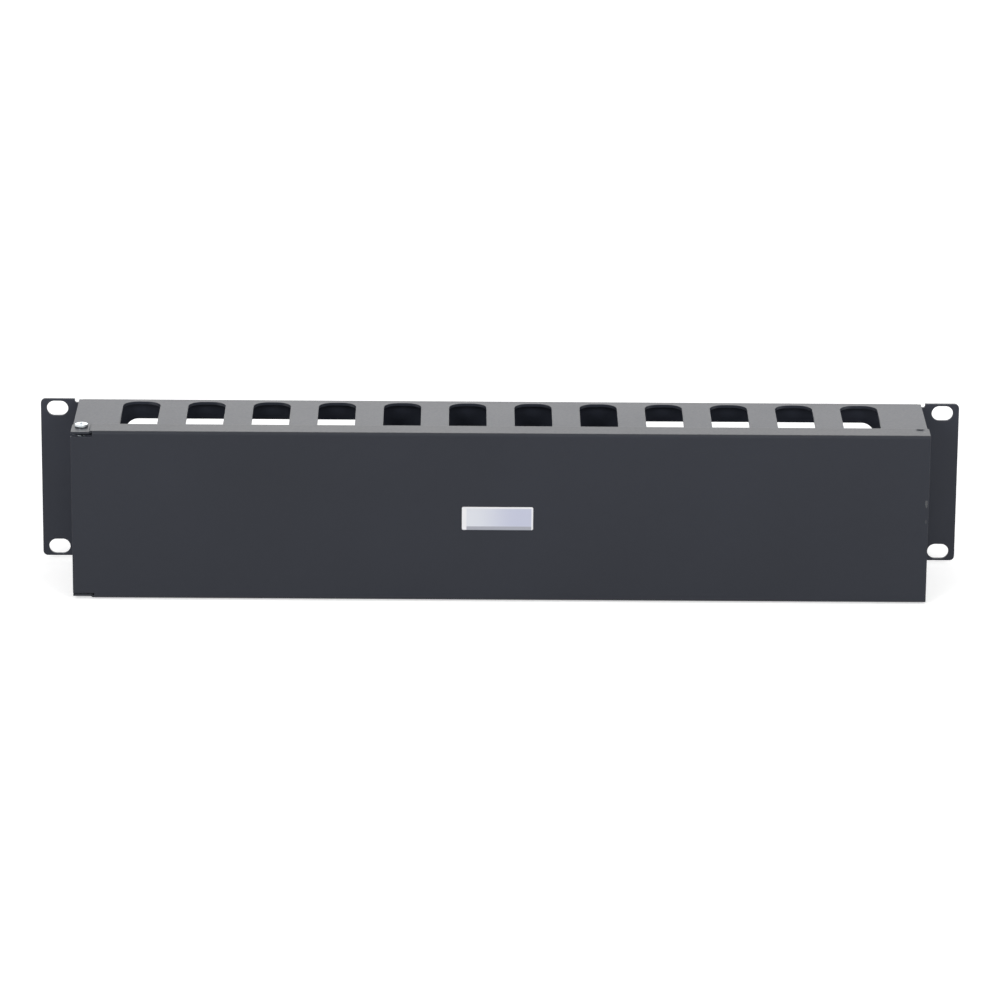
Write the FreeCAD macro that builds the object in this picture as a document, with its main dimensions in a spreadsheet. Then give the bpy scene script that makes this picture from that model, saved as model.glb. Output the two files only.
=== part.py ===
import FreeCAD, Part
import math
import os
import Sketcher

# Horizontal cable manager, 2U high, for a 19 inch rack.
# X runs along the width, +Z is up and the front faces -Y.
# The back of the rack ears, which bears on the rack rails, lies in Y = 0.

doc = FreeCAD.newDocument("CableManager")
Vec = FreeCAD.Vector

# ---------------------------------------------------------------- sizes, mm
DRIVING = {
    # rack ears
    "earSpan": 482.6,           # over both ears, the 19 inch panel width
    "bodyHeight": 86.4,         # ears and channel, a little under two rack units
    "earCorner": 2.5,
    "rackSpacingAcross": 465.1,
    "rackSpacingUp": 76.2,
    "rackSlotLength": 11.2,
    "rackSlotHeight": 8.0,
    # channel
    "bodySheet": 1.5,
    "bodyBend": 0.5,            # inside radius of the folds
    "channelWidth": 442.0,
    "channelDepth": 61.5,       # from the back of the ears to the finger tips
    "wallCorner": 3.0,
    "reliefWidth": 4.1,
    "reliefDepth": 2.0,
    "reliefCorner": 1.0,
    "reliefOutset": 0.3,        # of a relief's middle from the end of its wall
    # cable slots in the top and bottom walls
    "slotCount": 12,
    "slotMargin": 33.45,        # from the end of the channel to the middle of the first
    "slotWidth": 19.5,
    "slotCorner": 7.5,
    "slotStart": 5.6,           # from the back of the ears to the closed end
    "fingerTip": 2.0,
    # cable openings in the back plate
    "openingInner": 66.0,       # from the middle of the part
    "openingMargin": 24.0,      # from the end of the channel
    "openingHeight": 65.4,
    "openingCorner": 7.0,
    # cover
    "coverSheet": 1.2,
    "coverBend": 0.5,
    "coverOverhang": 0.2,       # of the cover past each end of the channel
    "coverGap": 0.8,            # between a channel wall and the flange over it
    "coverReach": 5.0,          # of the cover's face in front of the finger tips
    "flangeDepth": 14.0,
    "flangeCorner": 1.5,
    # hinge lugs of the cover
    "lugWidth": 9.2,
    "lugClear": 0.1,            # between a lug and the channel wall under it
    "lugSetback": 1.5,          # of the lug's front edge behind the face
    "lugRamp": 0.9,
    "notchDepth": 2.85,
    "lugGap": 1.0,              # between the ramp's head and the end of the fold
    "lugOuterCorner": 3.4,
    "lugInnerCorner": 2.8,
    # pivots
    "pivotSetback": 11.4,       # of the axis behind the cover's face
    "pivotInset": 4.9,          # of the axis from the end of the cover
    "screwShank": 4.0,
    "screwHead": 6.8,
    "screwHeadHeight": 1.5,
    "screwHeadRound": 1.0,
    "screwLength": 8.0,
    "screwTip": 0.5,            # chamfer of its end
    "recessWidth": 0.9,
    "recessSpan": 3.6,
    "recessDepth": 1.1,
    "threadFit": 0.04,          # on diameter, screw in its collar
    "pivotFit": 0.16,           # on diameter, lug on its screw
    "headClear": 0.05,          # under the screw's head
    "collarWall": 0.9,
    "collarDepth": 1.3,
    # detents at the free end
    "detentWidth": 5.4,
    "detentLength": 7.0,
    "detentDepth": 0.5,
    "detentSlope": 72.0,        # degrees, of its sides from upright
    "detentEdge": 4.7,          # from its middle to the end of the cover
    "detentSetback": 9.6,       # of its middle behind the cover's face
    "detentCorner": 2.2,
    "detentHoleExtra": 0.4,
    # label
    "labelWidth": 36.8,
    "labelHeight": 12.4,
    "labelThickness": 0.2,
    "labelCorner": 0.8,
    "labelShift": -1.4,         # of its middle from the middle of the cover
    "labelRise": -0.4,
}

sheet = doc.addObject("Spreadsheet::Sheet", "Sizes")
for row, (alias, number) in enumerate(DRIVING.items(), start=1):
    sheet.set(f"A{row}", alias)
    sheet.set(f"B{row}", str(number))
    sheet.setAlias(f"B{row}", alias)
doc.recompute()


class Size:
    """A length that knows its value now and the spreadsheet expression it follows."""

    def __init__(self, value, text):
        self.value = value
        self.text = text

    def joined(self, sign, other, value):
        return Size(value, f"({self.text} {sign} {asSize(other).text})")

    def __add__(self, other):
        return self.joined("+", other, self.value + asSize(other).value)

    def __sub__(self, other):
        return self.joined("-", other, self.value - asSize(other).value)

    def __mul__(self, other):
        return self.joined("*", other, self.value * asSize(other).value)

    def __truediv__(self, other):
        return self.joined("/", other, self.value / asSize(other).value)

    def __neg__(self):
        return self * -1


def asSize(number):
    return number if isinstance(number, Size) else Size(float(number), repr(number))


class Named:
    """Gives each alias of the spreadsheet as a Size, such as named.bodySheet."""

    def __getattr__(self, alias):
        return Size(float(DRIVING[alias]), f"Sizes.{alias}")


named = Named()

# Lengths that several sub-parts share.
bodyTop = named.bodyHeight / 2
bodyEnd = named.channelWidth / 2
tipY = -named.channelDepth
coverTop = bodyTop + named.coverGap + named.coverSheet
coverEnd = bodyEnd + named.coverOverhang
coverFace = tipY - named.coverReach
flangeRear = coverFace + named.flangeDepth
lugUnder = bodyTop + named.lugClear
lugTop = lugUnder + named.coverSheet
lugInner = -coverEnd + named.lugWidth
foldEnd = lugInner + named.lugRamp + named.lugGap
pivotX = -coverEnd + named.pivotInset
pivotY = coverFace + named.pivotSetback
detentX = coverEnd - named.detentEdge
detentY = coverFace + named.detentSetback
beyond = named.earSpan          # a length that clears the whole part


# ---------------------------------------------------------------- helpers
def newBody(label):
    body = doc.addObject("PartDesign::Body", label)
    body.Label = label
    body.Placement = FreeCAD.Placement()
    return body


def originFeature(body, role):
    return next(item for item in body.Origin.OriginFeatures if item.Role == role)


def newSketch(body, role, name, offset=None):
    """A sketch on one of the body's own origin planes, moved along its normal by offset."""
    sketch = body.newObject("Sketcher::SketchObject", name)
    sketch.AttachmentSupport = [(originFeature(body, role), "")]
    sketch.MapMode = "FlatFace"
    if offset is not None:
        sketch.setExpression(".AttachmentOffset.Base.z", offset.text)
    return sketch


def bindNumber(sketch, kind, where, size):
    """Adds a distance, radius or diameter constraint that follows the spreadsheet."""
    index = sketch.addConstraint(Sketcher.Constraint(kind, *where, size.value))
    sketch.setExpression(f"Constraints[{index}]", size.text)


def drawOutline(sketch, corners):
    """Draws a closed outline through corners (x, y) or (x, y, radius).

    Where every line is level or upright, each is held by the one coordinate that it keeps.
    An outline with a sloping line has plain corners, held by both coordinates.
    """
    corners = [tuple(asSize(part) for part in corner) for corner in corners]
    count = len(corners)
    points = [Vec(corner[0].value, corner[1].value, 0) for corner in corners]
    ways = [(points[(i + 1) % count] - points[i]).normalize() for i in range(count)]
    radii = [corner[2].value if len(corner) == 3 else 0.0 for corner in corners]
    lines = []
    for i in range(count):
        following = (i + 1) % count
        start = points[i] + ways[i] * radii[i]
        end = points[following] - ways[i] * radii[following]
        lines.append(sketch.addGeometry(Part.LineSegment(start, end), False))
    for i in range(count):
        if radii[i]:
            roundCorner(sketch, (lines[i - 1], lines[i]), (ways[i - 1], ways[i]), corners[i][2])
        else:
            sketch.addConstraint(Sketcher.Constraint("Coincident", lines[i - 1], 2, lines[i], 1))
    square = all(abs(way.x * way.y) < 1e-9 for way in ways)
    for line, way, corner in zip(lines, ways, corners):
        level = abs(way.y) < 1e-9
        if square:
            sketch.addConstraint(Sketcher.Constraint("Horizontal" if level else "Vertical", line))
        if level or not square:
            bindNumber(sketch, "DistanceY", (-1, 1, line, 1), corner[1])
        if not (level and square):
            bindNumber(sketch, "DistanceX", (-1, 1, line, 1), corner[0])


def roundCorner(sketch, lines, ways, radius):
    """Joins two lines that meet at a right angle with a tangent arc."""
    before, after = lines
    inward, outward = ways
    centre = sketch.getPoint(before, 2) + outward * radius.value
    fromAngle = math.atan2(-outward.y, -outward.x)
    toAngle = math.atan2(inward.y, inward.x)
    first, last = 1, 2
    turnsRight = inward.x * outward.y - inward.y * outward.x < 0
    if turnsRight:
        fromAngle, toAngle = toAngle, fromAngle
        first, last = 2, 1
    circle = Part.Circle(centre, Vec(0, 0, 1), radius.value)
    arc = sketch.addGeometry(Part.ArcOfCircle(circle, fromAngle, toAngle), False)
    sketch.addConstraint(Sketcher.Constraint("Tangent", before, 2, arc, first))
    sketch.addConstraint(Sketcher.Constraint("Tangent", arc, last, after, 1))
    bindNumber(sketch, "Radius", (arc,), radius)


def drawBox(sketch, middleX, middleY, width, height, radius=None):
    """Draws a rectangle about its middle, with round corners where a radius is given."""
    left, right = middleX - width / 2, middleX + width / 2
    low, high = middleY - height / 2, middleY + height / 2
    ends = [(left, low), (right, low), (right, high), (left, high)]
    drawOutline(sketch, ends if radius is None else [(*end, radius) for end in ends])


def drawObround(sketch, middleX, middleY, length, height):
    """Draws a level slot with half-round ends."""
    reach = (length - height) / 2
    radius = height / 2
    left, right = middleX - reach, middleX + reach
    high, low = middleY + radius, middleY - radius
    ends = []
    for centre, startAngle in ((left, math.pi / 2), (right, -math.pi / 2)):
        circle = Part.Circle(Vec(centre.value, middleY.value, 0), Vec(0, 0, 1), radius.value)
        arc = Part.ArcOfCircle(circle, startAngle, startAngle + math.pi)
        ends.append(sketch.addGeometry(arc, False))
    leftEnd, rightEnd = ends
    top = sketch.addGeometry(Part.LineSegment(Vec(right.value, high.value, 0),
                                              Vec(left.value, high.value, 0)), False)
    base = sketch.addGeometry(Part.LineSegment(Vec(left.value, low.value, 0),
                                               Vec(right.value, low.value, 0)), False)
    for first, firstEnd, second, secondEnd in ((top, 2, leftEnd, 1), (leftEnd, 2, base, 1),
                                               (base, 2, rightEnd, 1), (rightEnd, 2, top, 1)):
        sketch.addConstraint(Sketcher.Constraint("Tangent", first, firstEnd, second, secondEnd))
    sketch.addConstraint(Sketcher.Constraint("Horizontal", base))
    bindNumber(sketch, "Radius", (leftEnd,), radius)
    bindNumber(sketch, "DistanceX", (-1, 1, leftEnd, 3), left)
    bindNumber(sketch, "DistanceX", (-1, 1, rightEnd, 3), right)
    bindNumber(sketch, "DistanceY", (-1, 1, leftEnd, 3), middleY)


def drawCircle(sketch, middleX, middleY, diameter):
    circle = Part.Circle(Vec(middleX.value, middleY.value, 0), Vec(0, 0, 1), diameter.value / 2)
    ring = sketch.addGeometry(circle, False)
    bindNumber(sketch, "Diameter", (ring,), diameter)
    bindNumber(sketch, "DistanceX", (-1, 1, ring, 3), middleX)
    bindNumber(sketch, "DistanceY", (-1, 1, ring, 3), middleY)


def extrude(body, kind, sketch, length, symmetric=False, reverse=False):
    """A Pad or Pocket of the sketch, whose length follows the spreadsheet."""
    feature = body.newObject(f"PartDesign::{kind}", f"{kind}{sketch.Name}")
    feature.Profile = sketch
    feature.SideType = "Symmetric" if symmetric else "One side"
    feature.Reversed = reverse
    feature.setExpression("Length", length.text)
    sketch.Visibility = False
    body.Tip = feature
    return feature


def mirror(body, features, role):
    """Repeats features on the other side of one of the body's origin planes."""
    copy = body.newObject("PartDesign::Mirrored", "Mirrored" + features[0].Name)
    copy.Originals = features
    copy.MirrorPlane = (originFeature(body, role), [""])
    body.Tip = copy
    return copy


def isAt(place, size):
    return abs(place - size.value) < 0.01


def roundUpright(body, radius, test):
    """Rounds the upright edges of the body so far whose middle passes a test."""
    doc.recompute()
    base = body.Tip
    upright = [f"Edge{number}" for number, edge in enumerate(base.Shape.Edges, start=1)
               if abs(edge.tangentAt(edge.FirstParameter).z) > 0.999 and test(edge.CenterOfMass)]
    fillet = body.newObject("PartDesign::Fillet", "RoundedCorners")
    fillet.Base = (base, upright)
    fillet.setExpression("Radius", radius.text)
    body.Tip = fillet


def foldedSection(sketch, tip, heel, height, thickness, bend):
    """The section of a sheet folded into a U: tip is where its walls end, heel its web."""
    web = heel + (thickness if heel.value < tip.value else -thickness)
    high, inner = height / 2, height / 2 - thickness
    outer = bend + thickness
    drawOutline(sketch, [
        (tip, high), (heel, high, outer), (heel, -high, outer), (tip, -high),
        (tip, -inner), (web, -inner, bend), (web, inner, bend), (tip, inner),
    ])


# ---------------------------------------------------------------- channel
def makeChannel():
    body = newBody("channel_body")
    section = newSketch(body, "YZ_Plane", "ChannelSection")
    foldedSection(section, tipY, asSize(0), named.bodyHeight, named.bodySheet, named.bodyBend)
    extrude(body, "Pad", section, named.channelWidth, symmetric=True)
    addEars(body)
    cutReliefs(body)
    cutRackSlots(body)
    cutRearOpenings(body)
    roundUpright(body, named.wallCorner, lambda at: isAt(abs(at.x), bodyEnd) and isAt(at.y, tipY))
    cutCableSlots(body)
    formCollars(body)
    cutDetentHoles(body)


def addEars(body):
    ears = newSketch(body, "XZ_Plane", "Ears")
    for side in (1, -1):
        root, end = bodyEnd * side, named.earSpan / 2 * side
        drawOutline(ears, [(root, -bodyTop), (end, -bodyTop, named.earCorner),
                           (end, bodyTop, named.earCorner), (root, bodyTop)])
    extrude(body, "Pad", ears, named.bodySheet)


def cutReliefs(body):
    """Notches at the ends of the two folds, where the ears run on beside the walls."""
    reliefs = newSketch(body, "XZ_Plane", "Reliefs")
    middle = bodyEnd + named.reliefOutset
    for side in (1, -1):
        for level in (1, -1):
            drawBox(reliefs, middle * side, bodyTop * level, named.reliefWidth,
                    named.reliefDepth * 2, named.reliefCorner)
    extrude(body, "Pocket", reliefs, named.bodySheet + named.bodyBend, reverse=True)


def cutRackSlots(body):
    slots = newSketch(body, "XZ_Plane", "RackSlots")
    for side in (1, -1):
        for level in (1, -1):
            drawObround(slots, named.rackSpacingAcross / 2 * side, named.rackSpacingUp / 2 * level,
                        named.rackSlotLength, named.rackSlotHeight)
    extrude(body, "Pocket", slots, named.bodySheet, reverse=True)


def cutRearOpenings(body):
    openings = newSketch(body, "XZ_Plane", "RearOpenings")
    width = bodyEnd - named.openingMargin - named.openingInner
    for side in (1, -1):
        drawBox(openings, (named.openingInner + width / 2) * side, asSize(0), width,
                named.openingHeight, named.openingCorner)
    extrude(body, "Pocket", openings, named.bodySheet, reverse=True)


def cutCableSlots(body):
    """One U-shaped slot through both walls, round at its closed end and between the
    finger tips at its mouth, repeated along the channel."""
    slot = newSketch(body, "XY_Plane", "CableSlot")
    middle = -bodyEnd + named.slotMargin
    left, right = middle - named.slotWidth / 2, middle + named.slotWidth / 2
    closed, outside = -named.slotStart, tipY - named.fingerTip
    flare = named.fingerTip * 1.5
    drawOutline(slot, [
        (left, closed, named.slotCorner), (left, tipY, named.fingerTip), (left - flare, tipY),
        (left - flare, outside), (right + flare, outside), (right + flare, tipY),
        (right, tipY, named.fingerTip), (right, closed, named.slotCorner),
    ])
    cut = extrude(body, "Pocket", slot, beyond, symmetric=True)
    row = body.newObject("PartDesign::LinearPattern", "CableSlots")
    row.Originals = [cut]
    row.Direction = (originFeature(body, "X_Axis"), [""])
    row.setExpression("Length", (-middle * 2).text)
    row.setExpression("Occurrences", named.slotCount.text)
    body.Tip = row


def formCollars(body):
    """The collars drawn inwards from the walls and tapped for the pivot screws."""
    inside = bodyTop - named.bodySheet
    collar = newSketch(body, "XY_Plane", "Collar", offset=inside - named.collarDepth)
    drawCircle(collar, pivotX, pivotY, named.screwShank + named.collarWall * 2)
    drawn = extrude(body, "Pad", collar, named.collarDepth)
    mirror(body, [drawn], "XY_Plane")
    thread = newSketch(body, "XY_Plane", "TappedHole")
    drawCircle(thread, pivotX, pivotY, named.screwShank + named.threadFit)
    extrude(body, "Pocket", thread, beyond, symmetric=True)


def cutDetentHoles(body):
    """Holes in the walls that the cover's two detents drop towards when it is shut."""
    holes = newSketch(body, "XY_Plane", "DetentHoles")
    drawBox(holes, detentX, detentY, named.detentWidth + named.detentHoleExtra,
            named.detentLength + named.detentHoleExtra, named.detentCorner)
    extrude(body, "Pocket", holes, beyond, symmetric=True)


# ---------------------------------------------------------------- cover
def makeCover():
    body = newBody("hinged_cover")
    section = newSketch(body, "YZ_Plane", "CoverSection")
    foldedSection(section, flangeRear, coverFace, coverTop * 2, named.coverSheet, named.coverBend)
    extrude(body, "Pad", section, coverEnd * 2, symmetric=True)
    roundUpright(body, named.flangeCorner, lambda at: at.x > 0 and isAt(at.y, flangeRear))
    clearHingeEnd(body)
    addLugs(body)
    pressDetents(body)


def clearHingeEnd(body):
    """Takes away the folds and flanges over the lugs, and notches the face under them."""
    notch = newSketch(body, "XZ_Plane", "HingeNotch")
    left = -coverEnd - named.coverSheet
    high, low = coverTop + named.coverSheet, coverTop - named.notchDepth
    for level in (1, -1):
        drawOutline(notch, [(left, low * level), (foldEnd, low * level),
                            (foldEnd, high * level), (left, high * level)])
    extrude(body, "Pocket", notch, beyond, symmetric=True)


def addLugs(body):
    """A lug stepped down from each flange to lie on the channel wall, round about its pivot."""
    rear, front = pivotY + named.pivotInset, coverFace + named.lugSetback
    flangeUnder = coverTop - named.coverSheet
    step = lugInner + named.lugRamp
    strip = newSketch(body, "XZ_Plane", "LugStrip", offset=-rear)
    drawOutline(strip, [
        (foldEnd, coverTop), (step, coverTop), (lugInner, lugTop), (-coverEnd, lugTop),
        (-coverEnd, lugUnder), (lugInner, lugUnder), (step, flangeUnder), (foldEnd, flangeUnder),
    ])
    lug = extrude(body, "Pad", strip, rear - front)
    mirror(body, [lug], "XY_Plane")

    trim = newSketch(body, "XY_Plane", "LugOutline")
    outside, behind = -coverEnd - named.lugWidth, rear + named.lugWidth
    drawOutline(trim, [
        (outside, pivotY), (-coverEnd, pivotY), (-coverEnd, rear, named.lugOuterCorner),
        (lugInner, rear, named.lugInnerCorner), (lugInner, flangeRear), (foldEnd, flangeRear),
        (foldEnd, behind), (outside, behind),
    ])
    extrude(body, "Pocket", trim, beyond, symmetric=True)

    hole = newSketch(body, "XY_Plane", "PivotHole")
    drawCircle(hole, pivotX, pivotY, named.screwShank + named.pivotFit)
    extrude(body, "Pocket", hole, beyond, symmetric=True)


def pressDetents(body):
    """A dished detent in each flange: a hollow on its outside and a bump on its inside."""
    features = []
    for kind, name, level in (("Pad", "DetentBump", coverTop - named.coverSheet),
                              ("Pocket", "DetentHollow", coverTop)):
        outline = newSketch(body, "XY_Plane", name, offset=level)
        drawBox(outline, detentX, detentY, named.detentWidth, named.detentLength,
                named.detentCorner)
        detent = extrude(body, kind, outline, named.detentDepth, reverse=kind == "Pad")
        detent.setExpression("TaperAngle", (-named.detentSlope).text)
        features.append(detent)
    mirror(body, features, "XY_Plane")


# ---------------------------------------------------------------- screws and label
def makeScrew(label, side):
    """A pan head screw with a cross recess, its axis upright; side is 1 above, -1 below."""
    body = newBody(label)
    shank, head = named.screwShank / 2, named.screwHead / 2
    profile = newSketch(body, "XZ_Plane", "ScrewProfile")
    drawOutline(profile, [
        (asSize(0), -named.screwLength), (shank, -named.screwLength), (shank, asSize(0)),
        (head, asSize(0)), (head, named.screwHeadHeight, named.screwHeadRound),
        (asSize(0), named.screwHeadHeight),
    ])
    turned = body.newObject("PartDesign::Revolution", "Turned")
    turned.Profile = profile
    turned.ReferenceAxis = (originFeature(body, "Z_Axis"), [""])
    profile.Visibility = False
    body.Tip = turned
    chamferEnd(body, turned)

    recess = newSketch(body, "XY_Plane", "CrossRecess", offset=named.screwHeadHeight)
    near, far = named.recessWidth / 2, named.recessSpan / 2
    drawOutline(recess, [
        (near, near), (near, far), (-near, far), (-near, near), (-far, near), (-far, -near),
        (-near, -near), (-near, -far), (near, -far), (near, -near), (far, -near), (far, near),
    ])
    extrude(body, "Pocket", recess, named.recessDepth)

    if side < 0:
        body.Placement = FreeCAD.Placement(Vec(), FreeCAD.Rotation(Vec(1, 0, 0), 180))
    body.setExpression("Placement.Base.x", pivotX.text)
    body.setExpression("Placement.Base.y", pivotY.text)
    body.setExpression("Placement.Base.z", ((lugTop + named.headClear) * side).text)


def chamferEnd(body, turned):
    """Breaks the edge of the screw's lower end."""
    doc.recompute()
    rim = [f"Edge{number}" for number, edge in enumerate(turned.Shape.Edges, start=1)
           if isAt(edge.BoundBox.ZMax, -named.screwLength)]
    chamfer = body.newObject("PartDesign::Chamfer", "ChamferedEnd")
    chamfer.Base = (turned, rim)
    chamfer.setExpression("Size", named.screwTip.text)
    body.Tip = chamfer


def makeLabel():
    body = newBody("blank_label")
    outline = newSketch(body, "XZ_Plane", "LabelOutline", offset=-coverFace)
    drawBox(outline, named.labelShift, named.labelRise, named.labelWidth, named.labelHeight,
            named.labelCorner)
    extrude(body, "Pad", outline, named.labelThickness)


def exportParts():
    doc.recompute()
    os.makedirs("parts", exist_ok=True)
    for item in doc.Objects:
        if "Invalid" in item.State or "Error" in item.State:
            raise RuntimeError(f"{item.Name} did not build: {item.State}")
    for body in (item for item in doc.Objects if item.TypeId == "PartDesign::Body"):
        if not body.Shape.isValid() or len(body.Shape.Solids) != 1:
            raise RuntimeError(f"{body.Label} is not one sound solid")
        body.Shape.exportStep(f"parts/{body.Label}.step")
        print(body.Label, round(body.Shape.Volume), "mm3")


makeChannel()
makeCover()
makeScrew("top_pivot_screw", 1)
makeScrew("bottom_pivot_screw", -1)
makeLabel()
exportParts()
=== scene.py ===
import math
import bpy
import numpy as np
from mathutils import Matrix, Vector


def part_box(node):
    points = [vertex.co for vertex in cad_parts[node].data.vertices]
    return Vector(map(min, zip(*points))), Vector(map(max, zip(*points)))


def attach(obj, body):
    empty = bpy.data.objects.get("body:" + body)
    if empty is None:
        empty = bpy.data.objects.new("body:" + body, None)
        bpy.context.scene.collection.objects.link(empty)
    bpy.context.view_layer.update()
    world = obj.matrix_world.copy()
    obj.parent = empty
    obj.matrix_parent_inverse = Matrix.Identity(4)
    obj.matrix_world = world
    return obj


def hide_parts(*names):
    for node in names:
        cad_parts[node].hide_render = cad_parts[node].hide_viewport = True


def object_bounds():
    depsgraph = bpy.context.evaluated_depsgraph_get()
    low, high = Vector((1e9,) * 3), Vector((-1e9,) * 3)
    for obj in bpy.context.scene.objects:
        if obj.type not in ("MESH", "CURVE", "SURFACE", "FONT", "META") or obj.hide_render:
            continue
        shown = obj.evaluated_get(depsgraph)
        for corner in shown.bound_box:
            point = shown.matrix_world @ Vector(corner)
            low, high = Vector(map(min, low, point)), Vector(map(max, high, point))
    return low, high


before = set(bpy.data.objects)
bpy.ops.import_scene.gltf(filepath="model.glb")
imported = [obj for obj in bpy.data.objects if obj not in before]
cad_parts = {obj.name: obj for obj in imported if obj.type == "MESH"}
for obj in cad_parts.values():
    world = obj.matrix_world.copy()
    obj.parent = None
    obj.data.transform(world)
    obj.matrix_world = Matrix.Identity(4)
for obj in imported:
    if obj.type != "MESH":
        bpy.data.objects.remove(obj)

# Horizontal cable manager for a 19 inch rack: finishes, pivot screws, light and camera
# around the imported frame. Everything is in metres; X runs along the width, +Z is up and
# the cover faces -Y.

cadBox = [list(corner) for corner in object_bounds()]
mm = 0.001
print("frame loaded:", len(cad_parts), "nodes")


# wiring of materials

class Wire:
    # a node's output that can stand in a Python expression

    def __init__(self, finish, socket):
        self.finish = finish
        self.socket = socket

    def combine(self, operation, first, second):
        return self.finish.add("ShaderNodeMath", {"operation": operation}, {0: first, 1: second})

    def __add__(self, other):
        return self.combine("ADD", self, other)

    def __sub__(self, other):
        return self.combine("SUBTRACT", self, other)

    def __rsub__(self, other):
        return self.combine("SUBTRACT", other, self)

    def __mul__(self, other):
        return self.combine("MULTIPLY", self, other)

    __radd__ = __add__
    __rmul__ = __mul__

    def rise(self, low, high):
        # 0 up to low, 1 from high on, with a smooth rise between them
        return self.finish.add("ShaderNodeMapRange", {"interpolation_type": "SMOOTHSTEP"},
                               {"Value": self, "From Min": low, "From Max": high})


class Finish:
    # the nodes of one material or world being put together

    def __init__(self, owner):
        owner.use_nodes = True
        self.owner = owner
        self.tree = owner.node_tree
        self.tree.nodes.clear()

    def add(self, kind, settings=None, inputs=None, output=0):
        # any node: its type, its settings, then the values or links of its inputs
        node = self.tree.nodes.new(kind)
        for key, value in (settings or {}).items():
            setattr(node, key, value)
        for key, value in (inputs or {}).items():
            if isinstance(value, Wire):
                self.tree.links.new(value.socket, node.inputs[key])
            else:
                node.inputs[key].default_value = value
        return Wire(self, node.outputs[output]) if node.outputs else None

    def place(self):
        return self.add("ShaderNodeTexCoord", output="Object")

    def acrossAndUp(self, where):
        across = self.add("ShaderNodeSeparateXYZ", inputs={0: where})
        return across, Wire(self, across.socket.node.outputs["Z"])

    def noise(self, where, size, detail=2.0, roughness=0.5):
        return self.add("ShaderNodeTexNoise", {}, {"Vector": where, "Scale": 1 / size,
                                                   "Detail": detail, "Roughness": roughness})

    def blend(self, amount, first, second):
        # colours joined, 0 gives the first and 1 the second
        return self.add("ShaderNodeMix", {"data_type": "RGBA"},
                        {0: amount, 6: first, 7: second}, output=2)

    def bump(self, height, distance, normal=None):
        inputs = {"Height": height, "Distance": distance, "Strength": 1.0}
        if normal is not None:
            inputs["Normal"] = normal
        return self.add("ShaderNodeBump", {}, inputs)

    def softEdge(self, radius):
        # the surface's direction, turned gradually over an edge as lacquer flows round it
        return self.add("ShaderNodeBevel", {"samples": 8}, {"Radius": radius})

    def edges(self, radius):
        # 0 on flat sheet, rising to 0.3 at an edge, from how far the two directions differ
        flat = self.add("ShaderNodeNewGeometry", output="Normal")
        alike = self.add("ShaderNodeVectorMath", {"operation": "DOT_PRODUCT"},
                         {0: self.softEdge(radius), 1: flat}, output="Value")
        return 1.0 - alike

    def coated(self, **inputs):
        # closes a material with one Principled shader and gives the material back
        named = {key.replace("_", " "): value for key, value in inputs.items()}
        shader = self.add("ShaderNodeBsdfPrincipled", {}, named)
        self.add("ShaderNodeOutputMaterial", {}, {"Surface": shader})
        return self.owner


def dress(piece, material):
    piece.data.materials.clear()
    piece.data.materials.append(material)


# powder coat of the channel and the cover

powderCoat = {
    "colour": (0.0157, 0.0179, 0.0252),
    "paler": (0.0192, 0.0218, 0.0306),
    "channelPaintedLightLift": 1.42,        # the channel's coat is painted this much paler than the cover's: painted light, making up for the shade on the rack ears and inside the channel
    "toneCloud": 0.7,           # shares of the slow drift and of the grain in the tone
    "toneGrain": 0.5,
    "toneRange": (0.3, 0.9),
    "gloss": 1.34,              # index of refraction of the lacquer
    "roughness": 0.38,
    "roughnessSpread": 0.10,
    "cloudSize": 90 * mm,       # drift of the tone over the sheet
    "peelSize": 1.3 * mm,       # width of one swell of the orange peel
    "peelDepth": 0.030 * mm,
    "grainSize": 0.30 * mm,
    "grainDepth": 0.008 * mm,
    "edgeRadius": 0.28 * mm,    # of the lacquer over the cut edges
    "thinCoatAndHighlight": (0.075, 0.080, 0.090, 1.0),         # paler over a cut edge: the coat thins there, and a painted highlight where the edge catches the light
    "thinCoatAndHighlightReach": 0.45 * mm,
    "thinCoatAndHighlightRange": (0.04, 0.30),
    "chipAndHighlightColour": (0.085, 0.088, 0.092, 1.0),      # pale marks on the free edge: chips in the coat, and a painted highlight running down that edge
    "chipAndHighlightBreaks": 0.7 * mm,    # size of the breaks in a mark's outline
    "chipAndHighlightRagged": 4.0,
    "chipAndHighlightRange": (0.6, 1.0),
    "chipsAndHighlights": [                 # middle across and up, reach each way, strength; on the free edge
        ((220.0 * mm, 8.9 * mm), (0.75 * mm, 2.3 * mm), 0.75),
        ((220.0 * mm, -0.9 * mm), (0.6 * mm, 1.2 * mm), 0.30),
    ],
}


def chipAndHighlightMask(across, up, breaks, middle, reach):
    # 1 inside an oval about a point and 0 outside it, with an outline that the breaks tear
    values = powderCoat
    aside = (across - middle[0]) * (1 / reach[0])
    above = (up - middle[1]) * (1 / reach[1])
    torn = (breaks - 0.5) * values["chipAndHighlightRagged"]
    return 1.0 - (aside * aside + above * above + torn).rise(*values["chipAndHighlightRange"])


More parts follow.
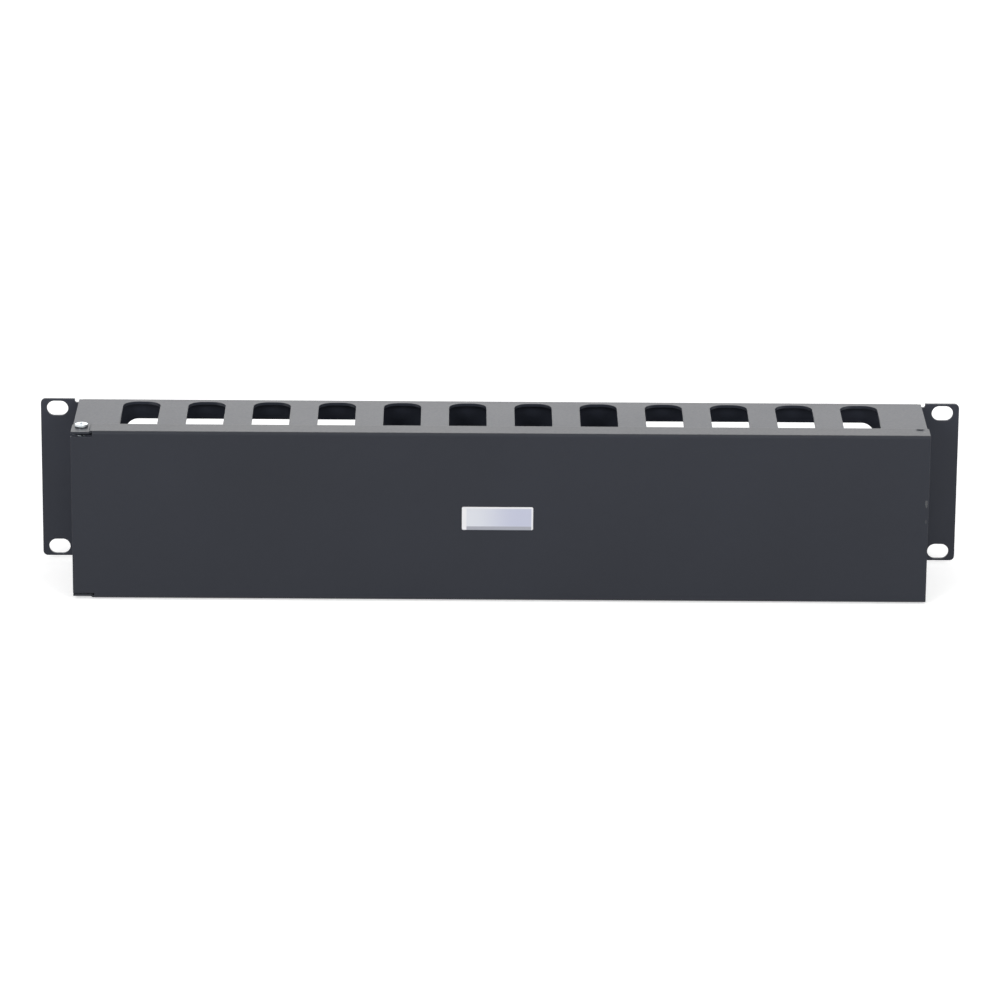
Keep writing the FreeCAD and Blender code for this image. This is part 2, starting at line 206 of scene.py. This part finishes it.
def makePowderCoat(name, paintedLightLift=1.0, chipsAndHighlights=()):
    values = powderCoat
    finish = Finish(bpy.data.materials.new(name))
    where = finish.place()
    cloud = finish.noise(where, values["cloudSize"], detail=3.0)
    peel = finish.noise(where, values["peelSize"])
    grain = finish.noise(where, values["grainSize"], roughness=0.6)
    # a lift above 1 paints the coat paler: painted light for the channel, which gets less light
    # than the cover
    deep, paler = ([paintedLightLift * part for part in values[key]] + [1.0] for key in ("colour", "paler"))
    tone = (cloud * values["toneCloud"] + grain * values["toneGrain"]).rise(*values["toneRange"])
    colour = finish.blend(tone, deep, paler)
    # paler cut edges: the coat's thinning there and a painted highlight along each edge
    thinCoatAndHighlightMask = (finish.edges(values["thinCoatAndHighlightReach"]) * (cloud + peel)).rise(*values["thinCoatAndHighlightRange"])
    colour = finish.blend(thinCoatAndHighlightMask, colour, values["thinCoatAndHighlight"])
    if chipsAndHighlights:
        across, up = finish.acrossAndUp(where)
        breaks = finish.noise(where, values["chipAndHighlightBreaks"], detail=4.0, roughness=0.7)
    # pale marks on the free edge: chips in the coat and a painted highlight
    for middle, reach, strength in chipsAndHighlights:
        chipAndHighlight = chipAndHighlightMask(across, up, breaks, middle, reach) * strength
        colour = finish.blend(chipAndHighlight, colour, values["chipAndHighlightColour"])
    roughness = values["roughness"] + (cloud + peel - 1.0) * values["roughnessSpread"]
    swell = finish.bump(peel, values["peelDepth"], normal=finish.softEdge(values["edgeRadius"]))
    surface = finish.bump(grain, values["grainDepth"], normal=swell)
    return finish.coated(Base_Color=colour, Roughness=roughness, Normal=surface,
                         IOR=values["gloss"])


# bright zinc of the pivot screws

zincPlate = {
    "colour": (0.64, 0.68, 0.70, 1.0),
    "duller": (0.46, 0.49, 0.51, 1.0),
    "dullRange": (0.3, 0.7),
    "roughness": 0.24,
    "roughnessSpread": 0.18,
    "cloudSize": 1.6 * mm,
    "grainSize": 0.22 * mm,
    "grainDepth": 0.005 * mm,
}


def makeZincPlate(name):
    values = zincPlate
    finish = Finish(bpy.data.materials.new(name))
    where = finish.place()
    cloud = finish.noise(where, values["cloudSize"], detail=3.0)
    grain = finish.noise(where, values["grainSize"])
    colour = finish.blend(cloud.rise(*values["dullRange"]), values["colour"], values["duller"])
    roughness = values["roughness"] + cloud * values["roughnessSpread"]
    surface = finish.bump(grain, values["grainDepth"])
    return finish.coated(Base_Color=colour, Roughness=roughness, Normal=surface, Metallic=1.0)


# pivot screws: a pan head with a cross recess, a plain shoulder and a rolled thread

pivotScrew = {
    "headHeight": 1.5 * mm,
    "headRound": 0.95 * mm,     # of the head's upper edge
    "headBreak": 0.06 * mm,     # of its lower edge, inwards
    "headBreakHeight": 0.08 * mm,
    "crown": 0.12 * mm,         # rise of the head's middle
    "shank": 2.0 * mm,          # radius over the thread
    "neck": 0.12 * mm,          # fillet under the head
    "shoulder": 1.5 * mm,       # plain length under the head, in the cover's lug
    "threadPitch": 0.7 * mm,
    "threadDepth": 0.38 * mm,
    "threadCrest": 0.12,        # flat crest and flat root, each as a share of half a pitch
    "threadEnd": 7.45 * mm,
    "tip": 0.5 * mm,            # chamfer of its end
    "armWidth": 0.95 * mm,
    "armSpan": 3.7 * mm,
    "recessDepth": 1.05 * mm,
    "recessWall": 6.0,          # fall of a recess wall for one step inwards
    "recessRise": 0.45,         # of its floor towards the arms' ends, as a share of its depth
    "columns": 160,
    "innermost": 0.03 * mm,     # radius of the first ring
    "crownRings": 46,
    "roundRings": 12,
    "stepsPerPitch": 10,
    "sharpFrom": 38,            # degrees between faces that meet in a sharp edge
}


def crossRecess(x, y):
    # depth of the recess: how far a point lies inside the nearer arm, times the walls' steepness,
    # down to a floor that rises towards the arms' ends with the square of the distance
    values = pivotScrew
    arm, span = values["armWidth"] / 2, values["armSpan"] / 2
    inside = np.maximum(np.minimum(arm - abs(x), span - abs(y)),
                        np.minimum(arm - abs(y), span - abs(x)))
    floor = values["recessDepth"] * (1.0 - values["recessRise"] * (np.hypot(x, y) / span) ** 2)
    return np.minimum(np.maximum(inside, 0.0) * values["recessWall"], floor)


def threadCut(turn, z):
    # depth of the thread: a vee with a narrow flat crest and root, which runs round once in each
    # pitch and fades in and out over one pitch at its ends
    values = pivotScrew
    phase = (z / values["threadPitch"] + turn / (2 * np.pi)) % 1.0
    crest = values["threadCrest"]
    vee = np.clip((abs(2 * phase - 1) - crest) / (1 - 2 * crest), 0.0, 1.0)
    start, end = values["shoulder"], values["threadEnd"]
    fade = np.clip(np.minimum(-z - start, end + z) / values["threadPitch"], 0.0, 1.0)
    return values["threadDepth"] * vee * fade


def closedTurning(name, x, y, z, sharpFrom):
    # a skin over rings of points, the first and last ring each closed to a point at its middle
    rings, columns = x.shape
    skin = np.stack([x, y, z], axis=-1).reshape(-1, 3)
    poles = np.array([skin[:columns].mean(axis=0), skin[-columns:].mean(axis=0)])
    points = np.vstack([skin, poles])
    ring, column = np.meshgrid(np.arange(rings - 1), np.arange(columns), indexing="ij")
    following = (column + 1) % columns
    quads = np.stack([ring * columns + column, (ring + 1) * columns + column,
                      (ring + 1) * columns + following, ring * columns + following], axis=-1)
    around = np.arange(columns)
    after = (around + 1) % columns
    top = np.stack([np.full(columns, len(skin)), around, after], axis=-1)
    lowest = (rings - 1) * columns
    foot = np.stack([np.full(columns, len(skin) + 1), lowest + after, lowest + around], axis=-1)
    faces = quads.reshape(-1, 4).tolist() + top.tolist() + foot.tolist()
    mesh = bpy.data.meshes.new(name)
    mesh.from_pydata(points.tolist(), [], faces)
    mesh.shade_smooth()
    mesh.set_sharp_from_angle(angle=math.radians(sharpFrom))
    piece = bpy.data.objects.new(name, mesh)
    bpy.context.collection.objects.link(piece)
    return piece


def makePivotScrew(name, node, side, material):
    # a profile of rings, each a radius and a height, turned about the pivot: a crown that falls
    # with the square of the radius, a quarter circle, the shoulder, the thread's rows and a
    # chamfered tip; then the recess is pressed into the head and the thread cut into the shank.
    # side is 1 for the upper screw and -1 for the lower one, which stands on its head
    values = pivotScrew
    low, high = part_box(node)
    middle = (low + high) / 2
    head, height = (high.x - low.x) / 2, values["headHeight"]
    shank, bend, crown, neck = (values[key] for key in ("shank", "headRound", "crown", "neck"))
    length = high.z - low.z - height
    flat = np.linspace(values["innermost"], head - bend, values["crownRings"])
    arc = np.radians(np.linspace(0, 90, values["roundRings"]))[1:]
    step = values["threadPitch"] / values["stepsPerPitch"]
    threadRows = -np.arange(values["shoulder"], length - values["tip"], step)
    radius = np.concatenate([
        flat, head - bend + bend * np.sin(arc),
        [head, head - values["headBreak"], shank + neck],
        [shank, shank], np.full(len(threadRows), shank), [shank, shank - values["tip"]]])
    level = np.concatenate([
        height - crown * (flat / (head - bend)) ** 2, height - crown - bend + bend * np.cos(arc),
        [values["headBreakHeight"], 0.0, 0.0],
        [-neck, -values["shoulder"] + step], threadRows, [values["tip"] - length, -length]])
    turn = np.linspace(0, 2 * np.pi, values["columns"], endpoint=False)
    ringRadius, ringTurn = np.meshgrid(radius, turn, indexing="ij")
    z = np.repeat(level[:, None], len(turn), axis=1)
    ringRadius = ringRadius - threadCut(ringTurn, z) * (z < 0)
    x, y = ringRadius * np.cos(ringTurn), ringRadius * np.sin(ringTurn)
    z = z - crossRecess(x, y) * (z > height / 2)
    seat = high.z - height if side > 0 else low.z + height
    piece = closedTurning(name, middle.x + x, middle.y + y * side, seat + z * side,
                          values["sharpFrom"])
    dress(piece, material)
    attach(piece, "channel")
    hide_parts(node)


# film of the blank label

labelFilm = {
    "white": (0.77, 0.77, 0.79, 1.0),       # bare margin
    "field": (0.66, 0.68, 0.73, 1.0),       # printed tint, left end
    "cooler": (0.50, 0.52, 0.64, 1.0),      # right end
    "coolRange": (0.1, 0.8),    # where the tint turns, in shares of the width
    "strip": (0.35, 0.36, 0.41, 1.0),       # darker band along the foot of the tint
    "stripHeight": 1.9 * mm,
    "leftMargin": 2.4 * mm,
    "margin": 0.9 * mm,         # at the right and the top; the print runs off the foot
    "softness": 0.06 * mm,      # of the print's outlines
    "roughness": 0.30,
    "roughnessSpread": 0.12,
    "cloudSize": 6 * mm,
    "rippleDepth": 0.02 * mm,
}


def makeLabelFilm(name):
    # a tinted field inside a bare margin, from how far a point lies from each side of the film
    values = labelFilm
    finish = Finish(bpy.data.materials.new(name))
    where = finish.place()
    across, up = finish.acrossAndUp(where)
    cloud = finish.noise(where, values["cloudSize"], detail=3.0)
    low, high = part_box("blank_label")
    left, right, above, below = across - low.x, high.x - across, high.z - up, up - low.z

    def past(distance, line):
        return distance.rise(line - values["softness"], line + values["softness"])

    printed = (past(left, values["leftMargin"]) * past(right, values["margin"])
               * past(above, values["margin"]))
    turning = left.rise(*(share * (high.x - low.x) for share in values["coolRange"]))
    tint = finish.blend(turning, values["field"], values["cooler"])
    tint = finish.blend(past(below, values["stripHeight"]), values["strip"], tint)
    colour = finish.blend(printed, values["white"], tint)
    roughness = values["roughness"] + cloud * values["roughnessSpread"]
    surface = finish.bump(cloud, values["rippleDepth"])
    return finish.coated(Base_Color=colour, Roughness=roughness, Normal=surface)


nodeFinishes = {
    # the channel's copy of the coat is painted paler: painted light
    "channel_body": makePowderCoat("channelCoatWithPaintedLight", paintedLightLift=powderCoat["channelPaintedLightLift"]),
    "hinged_cover": makePowderCoat("coverPowderCoat", chipsAndHighlights=powderCoat["chipsAndHighlights"]),
    "blank_label": makeLabelFilm("labelFilm"),
}
for node, material in nodeFinishes.items():
    dress(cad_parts[node], material)
print("finishes made:", len(nodeFinishes))

pivotZinc = makeZincPlate("pivotZinc")
makePivotScrew("topPivotScrew", "top_pivot_screw", 1, pivotZinc)
makePivotScrew("bottomPivotScrew", "bottom_pivot_screw", -1, pivotZinc)
print("pivot screws made")


# floor, backdrop and light

studio = {
    "floorWidth": 8.0,
    "floorLines": 9,            # each way
    "floorColour": (0.80, 0.80, 0.80, 1.0),
    "floorGlow": 0.55,          # added for the eye and reflections: the lit floor is white
    "glowReach": (1.2, 2.6),    # metres out, from where to where the glow rises to full white
    "sky": (1.0, 1.0, 1.0, 1.0),
    "ambient": 0.3,             # the sky's strength as a light
    "lamps": [                  # place, size, watts
        ((0.0, 2.3, 1.0), (2.8, 1.4), 18.6),
        ((0.0, -0.4, 1.9), (1.8, 1.4), 8.0),
        ((-1.1, -1.7, 1.0), (0.9, 0.9), 19.0),
        ((1.2, -1.6, 0.95), (0.9, 0.9), 17.0),
    ],
}


def seenWhite(finish):
    # 1 where the eye, a reflection or a clear piece looks, 0 for light that falls on the part
    seen, mirrored, passed = (finish.add("ShaderNodeLightPath", output=f"Is {kind} Ray")
                              for kind in ("Camera", "Glossy", "Transmission"))
    return (seen + mirrored + passed).rise(0.0, 1.0)


def makeFloor():
    # a square grid at the part's lowest point
    half, count = studio["floorWidth"] / 2, studio["floorLines"]
    lines = np.linspace(-half, half, count)
    x, y = np.meshgrid(lines, lines, indexing="ij")
    points = np.stack([x, y, np.full_like(x, cadBox[0][2])], axis=-1).reshape(-1, 3)
    first = (np.arange(count - 1)[:, None] * count + np.arange(count - 1)).ravel()
    faces = np.stack([first, first + count, first + count + 1, first + 1], axis=-1)
    mesh = bpy.data.meshes.new("studioFloor")
    mesh.from_pydata(points.tolist(), [], faces.tolist())
    floor = bpy.data.objects.new("studioFloor", mesh)
    bpy.context.collection.objects.link(floor)
    finish = Finish(bpy.data.materials.new("paleFloor"))
    apart = finish.add("ShaderNodeVectorMath", {"operation": "LENGTH"}, {0: finish.place()},
                       output="Value")
    near = studio["floorGlow"]
    glowing = near + apart.rise(*studio["glowReach"]) * (1.0 - near)
    paper = finish.add("ShaderNodeBsdfDiffuse", {}, {"Color": studio["floorColour"]})
    glow = finish.add("ShaderNodeEmission", {}, {"Strength": seenWhite(finish) * glowing})
    both = finish.add("ShaderNodeAddShader", {}, {0: paper, 1: glow})
    finish.add("ShaderNodeOutputMaterial", {}, {"Surface": both})
    dress(floor, finish.owner)


def makeWorld():
    # full white to the eye and in reflections, and a weaker light on the part
    world = bpy.data.worlds.new("studioWorld")
    bpy.context.scene.world = world
    finish = Finish(world)
    direct = seenWhite(finish)
    strength = direct + (1.0 - direct) * studio["ambient"]
    sky = finish.add("ShaderNodeBackground", {}, {"Color": studio["sky"], "Strength": strength})
    finish.add("ShaderNodeOutputWorld", {}, {"Surface": sky})


def makeLamps():
    for number, (place, size, watts) in enumerate(studio["lamps"]):
        light = bpy.data.lights.new(f"softbox{number}", "AREA")
        light.shape = "RECTANGLE"
        light.size, light.size_y = size
        light.energy = watts
        lamp = bpy.data.objects.new(light.name, light)
        lamp.location = place
        lamp.rotation_mode = "QUATERNION"
        lamp.rotation_quaternion = (-Vector(place)).to_track_quat("-Z", "Y")
        bpy.context.collection.objects.link(lamp)


# camera

viewpoint = {
    "target": (0.285 * mm, -1.5 * mm, -11.12 * mm),
    "distance": 2911.7 * mm,
    "azimuth": 0.413,           # degrees, as the next two are; positive from the left
    "elevation": 17.69,
    "roll": 0.471,
    "lens": 198.4,              # millimetres, as the sensor is
    "sensor": 36.0,
    "clipEnd": 50.0,
}


def makeCamera():
    azimuth, elevation, roll = (math.radians(viewpoint[key])
                                for key in ("azimuth", "elevation", "roll"))
    ahead = Vector((math.sin(azimuth) * math.cos(elevation),
                    math.cos(azimuth) * math.cos(elevation), -math.sin(elevation)))
    level = Vector((math.cos(azimuth), -math.sin(azimuth), 0.0))
    upright = level.cross(ahead)
    right = level * math.cos(roll) + upright * math.sin(roll)
    above = upright * math.cos(roll) - level * math.sin(roll)
    turned = Matrix((right, above, -ahead)).transposed()
    camera = bpy.data.cameras.new("viewpoint")
    camera.lens = viewpoint["lens"]
    camera.sensor_width = viewpoint["sensor"]
    camera.clip_end = viewpoint["clipEnd"]
    holder = bpy.data.objects.new("viewpoint", camera)
    holder.matrix_world = Matrix.Translation(
        Vector(viewpoint["target"]) - ahead * viewpoint["distance"]) @ turned.to_4x4()
    bpy.context.collection.objects.link(holder)
    bpy.context.scene.camera = holder


makeFloor()
makeWorld()
makeLamps()
makeCamera()
bpy.context.scene.view_settings.view_transform = "Standard"
print("studio and camera ready")
